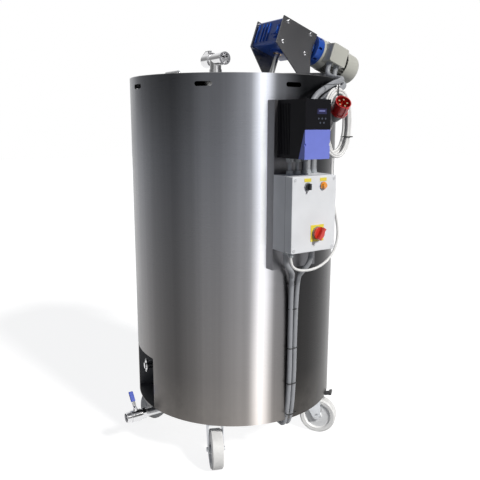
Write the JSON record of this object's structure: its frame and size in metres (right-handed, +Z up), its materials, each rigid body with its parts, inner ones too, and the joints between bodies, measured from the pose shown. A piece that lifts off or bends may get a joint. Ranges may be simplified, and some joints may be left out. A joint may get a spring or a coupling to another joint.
{
  "type": "jacketed melting kettle",
  "caption": "Tall round jacketed melting kettle on casters with an inclined geared mixer, a hinged lid, drain and fill valves and a control box.",
  "frame": {"origin": "on the floor on the vat's axis", "axes": "+Z up along the vat's axis, -Y towards the control box's front, +X towards the mixer motor, -X out of the drain valve"},
  "size_m": [1.1623, 1.1107, 1.8186],
  "materials": {
    "stainless": "satin ground stainless sheet",
    "inner_steel": "smooth stainless",
    "dark_recess": "dark",
    "wool": "mineral wool",
    "zinc": "bright zinc plate",
    "bright_steel": "polished stainless",
    "blue_grip": "satin",
    "gear_blue": "semi-gloss",
    "bronze": "machined",
    "shaft_steel": "turned",
    "motor_grey": "semi-gloss",
    "motor_core": "machined",
    "box_white": "semi-gloss powder coat",
    "label_yellow": "satin",
    "black_plastic": "satin",
    "lamp_orange": "translucent lens",
    "switch_red": "gloss",
    "grey_plastic": "satin",
    "inverter_black": "satin",
    "inverter_blue": "satin",
    "conduit_grey": "satin",
    "tie_black": "satin",
    "cable_white": "satin",
    "plug_red": "gloss",
    "plug_grey": "satin",
    "pin_brass": "nickel-tinged",
    "tyre_grey": "non-marking grey"
  },
  "bodies": {
    "kettle": {"outer_shell": "stainless", "notch_pocket": "dark_recess", "rim_ring": "stainless", "vat": "inner_steel", "jacket": "inner_steel", "insulation": "wool", "base_frame": "stainless", "heating_elements": "shaft_steel", "sensor_cover": "bright_steel", "drain_pipe": "bright_steel", "drain_body": "bright_steel", "fill_body": "bright_steel", "fixed_cover": "stainless", "bridge": "stainless", "side_plates": "stainless", "plate_bolts": "bright_steel", "gearbox_housing": "gear_blue", "gearbox_end_cap": "gear_blue", "motor_endshield": "motor_grey", "motor_body": "motor_grey", "motor_cowl": "motor_grey", "terminal_box": "motor_grey", "console": "stainless", "control_box": "box_white", "control_box_lid": "box_white", "label_plates": "label_yellow", "switch_bezels": "grey_plastic", "signal_lamp": "lamp_orange", "inverter_body": "inverter_black", "inverter_cover": "inverter_blue", "cable_glands": "grey_plastic", "conduits": "conduit_grey", "zip_ties": "tie_black", "mains_hank": "cable_white", "mains_cord": "cable_white", "plug_grip": "plug_grey", "plug_shell": "plug_red", "plug_pins": "pin_brass", "caster_plates": "zinc"},
    "lid": {"hinged_lid": "stainless", "lid_handle": "bright_steel"},
    "drain_handle": {"drain_lever": "bright_steel", "drain_sleeve": "blue_grip"},
    "fill_handle": {"fill_lever": "bright_steel"},
    "mixer": {"worm_wheel": "bronze", "agitator": "inner_steel"},
    "drive": {"worm_shaft": "shaft_steel", "motor_rotor": "motor_core"},
    "selector": {"selector_knob": "black_plastic"},
    "switch": {"main_switch": "switch_red"},
    "swivel_1": {"caster_fork_1": "zinc"},
    "wheel_1": {"caster_wheel_1": "tyre_grey"},
    "swivel_2": {"caster_fork_2": "zinc"},
    "wheel_2": {"caster_wheel_2": "tyre_grey"},
    "pedal_2": {"brake_pedal_2": "black_plastic"},
    "swivel_3": {"caster_fork_3": "zinc"},
    "wheel_3": {"caster_wheel_3": "tyre_grey"},
    "swivel_4": {"caster_fork_4": "zinc"},
    "wheel_4": {"caster_wheel_4": "tyre_grey"},
    "pedal_4": {"brake_pedal_4": "black_plastic"}
  },
  "joints": [
    {"name": "lid_hinge", "type": "hinge", "parent": "kettle", "child": "lid", "pos_m": [0.04, 0, 1.5585], "axis": [0, 1, 0], "range_deg": [0, 95]},
    {"name": "drain_turn", "type": "hinge", "parent": "kettle", "child": "drain_handle", "pos_m": [-0.488, 0, 0.16], "axis": [0, 0, 1], "range_deg": [0, 90]},
    {"name": "fill_turn", "type": "hinge", "parent": "kettle", "child": "fill_handle", "pos_m": [0.121, 0.412, 1.67], "axis": [0, 0, 1], "range_deg": [0, 90]},
    {"name": "mixer_spin", "type": "hinge", "parent": "kettle", "child": "mixer", "pos_m": [0.272, 0.035, 1.733], "axis": [0.3338, 0, 0.9426], "continuous": true},
    {"name": "drive_spin", "type": "hinge", "parent": "kettle", "child": "drive", "pos_m": [0.272, -0.04, 1.733], "axis": [0.9426, 0, -0.3338], "continuous": true},
    {"name": "selector_turn", "type": "hinge", "parent": "kettle", "child": "selector", "pos_m": [-0.048, -0.566, 1.158], "axis": [0, -1, 0], "range_deg": [-45, 45]},
    {"name": "switch_turn", "type": "hinge", "parent": "kettle", "child": "switch", "pos_m": [0.001, -0.566, 0.988], "axis": [0, -1, 0], "range_deg": [0, 90]},
    {"name": "swivel_1_turn", "type": "hinge", "parent": "kettle", "child": "swivel_1", "pos_m": [-0.247, -0.247, 0.18], "axis": [0, 0, 1], "continuous": true},
    {"name": "wheel_1_roll", "type": "hinge", "parent": "swivel_1", "child": "wheel_1", "pos_m": [-0.26497, -0.28934, 0.08], "axis": [0.9205, -0.3907, 0], "continuous": true},
    {"name": "swivel_2_turn", "type": "hinge", "parent": "kettle", "child": "swivel_2", "pos_m": [0.247, -0.247, 0.18], "axis": [0, 0, 1], "continuous": true},
    {"name": "wheel_2_roll", "type": "hinge", "parent": "swivel_2", "child": "wheel_2", "pos_m": [0.27748, -0.28145, 0.08], "axis": [0.749, 0.6626, 0], "continuous": true},
    {"name": "pedal_2_press", "type": "hinge", "parent": "swivel_2", "child": "pedal_2", "pos_m": [0.28013, -0.28445, 0.1777], "axis": [0.749, 0.6626, 0], "range_deg": [0, 15]},
    {"name": "swivel_3_turn", "type": "hinge", "parent": "kettle", "child": "swivel_3", "pos_m": [-0.247, 0.247, 0.18], "axis": [0, 0, 1], "continuous": true},
    {"name": "wheel_3_roll", "type": "hinge", "parent": "swivel_3", "child": "wheel_3", "pos_m": [-0.29023, 0.23127, 0.08], "axis": [0.342, -0.9397, 0], "continuous": true},
    {"name": "swivel_4_turn", "type": "hinge", "parent": "kettle", "child": "swivel_4", "pos_m": [0.247, 0.247, 0.18], "axis": [0, 0, 1], "continuous": true},
    {"name": "wheel_4_roll", "type": "hinge", "parent": "swivel_4", "child": "wheel_4", "pos_m": [0.29023, 0.26273, 0.08], "axis": [-0.342, 0.9397, 0], "continuous": true},
    {"name": "pedal_4_press", "type": "hinge", "parent": "swivel_4", "child": "pedal_4", "pos_m": [0.29398, 0.2641, 0.1777], "axis": [-0.342, 0.9397, 0], "range_deg": [0, 15]}
  ],
  "couplings": [
    {"joint": "drive_spin", "follows": "mixer_spin", "ratio": 20}
  ]
}
